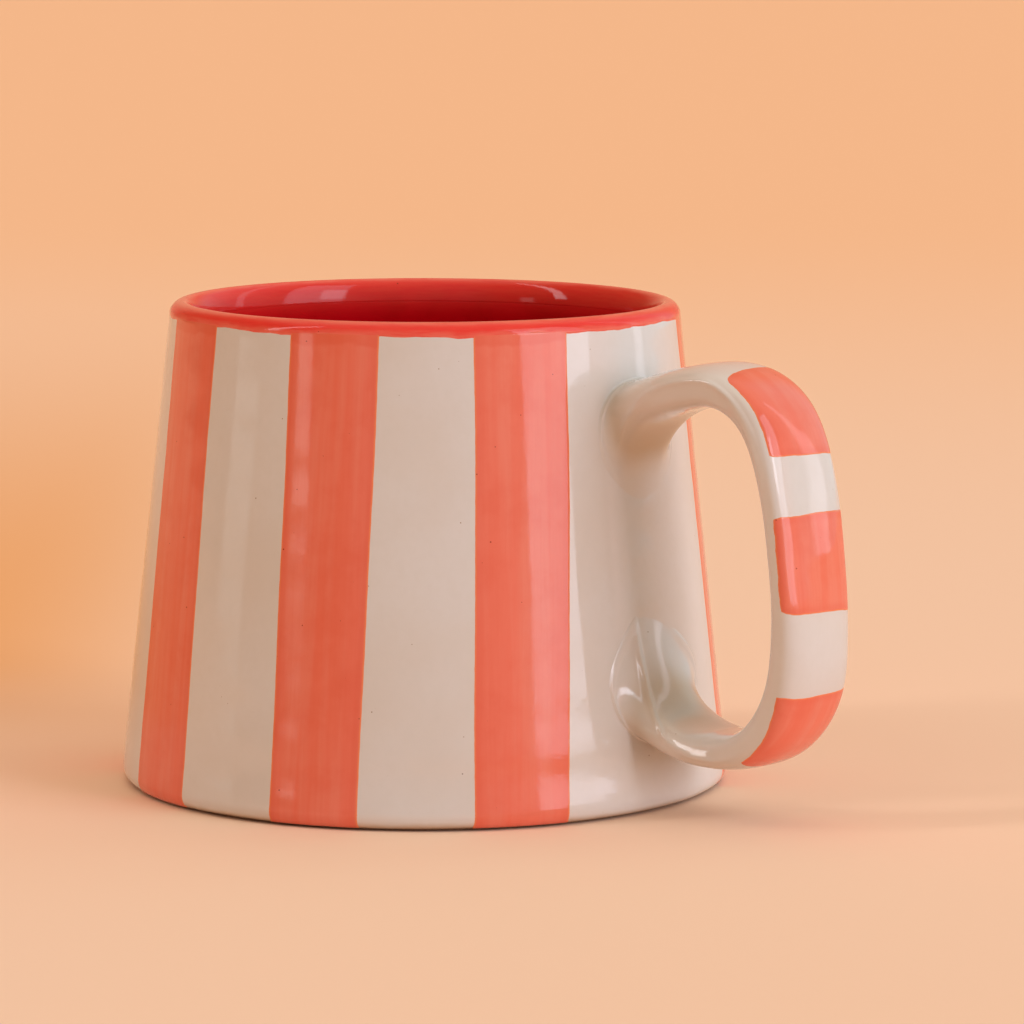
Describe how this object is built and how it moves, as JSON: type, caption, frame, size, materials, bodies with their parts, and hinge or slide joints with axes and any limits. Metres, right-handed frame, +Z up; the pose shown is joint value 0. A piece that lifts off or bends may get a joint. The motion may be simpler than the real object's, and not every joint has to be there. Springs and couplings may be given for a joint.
{
  "type": "ceramic mug",
  "caption": "Tapered glazed mug with a flat foot ring, an open cup and a flat strap handle luted to the wall at two flared joints.",
  "frame": {"origin": "centre of the foot ring, on the surface that the mug stands on", "axes": "+Z up along the cup's axis, +X towards the handle, +Y a quarter turn on from it"},
  "size_m": [0.1339, 0.1033, 0.082],
  "materials": {
    "clay_body": "bare fired stoneware, matte, seen only at the foot",
    "luting_slip": "fired slip in the two handle joints, hidden under the glaze",
    "liner_glaze": "deep red glossy liner glaze",
    "rim_glaze": "warm red glossy glaze, thin on the crest of the lip",
    "outer_glaze": "off-white glossy glaze with sparse iron specks",
    "stripe_colour": "coral brushed colour under a glossy surface, streaked along the stroke",
    "handle_glaze": "off-white glossy glaze, pooled in the joints",
    "handle_band": "coral brushed colour, glossy, with soft brushed ends",
    "underside_glaze": "off-white glaze in the recess under the cup"
  },
  "bodies": {
    "root": {"cup_body": "clay_body", "handle_strap": "clay_body", "upper_luting_slip": "luting_slip", "lower_luting_slip": "luting_slip", "liner_glaze": "liner_glaze", "rim_band_glaze": "rim_glaze", "outer_glaze": "outer_glaze", "underside_glaze": "underside_glaze", "wall_stripe_1": "stripe_colour", "wall_stripe_2": "stripe_colour", "wall_stripe_3": "stripe_colour", "wall_stripe_4": "stripe_colour", "wall_stripe_5": "stripe_colour", "wall_stripe_6": "stripe_colour", "wall_stripe_7": "stripe_colour", "wall_stripe_8": "stripe_colour", "handle_glaze": "handle_glaze", "handle_band_1": "handle_band", "handle_band_2": "handle_band", "handle_band_3": "handle_band"}
  },
  "joints": []
}
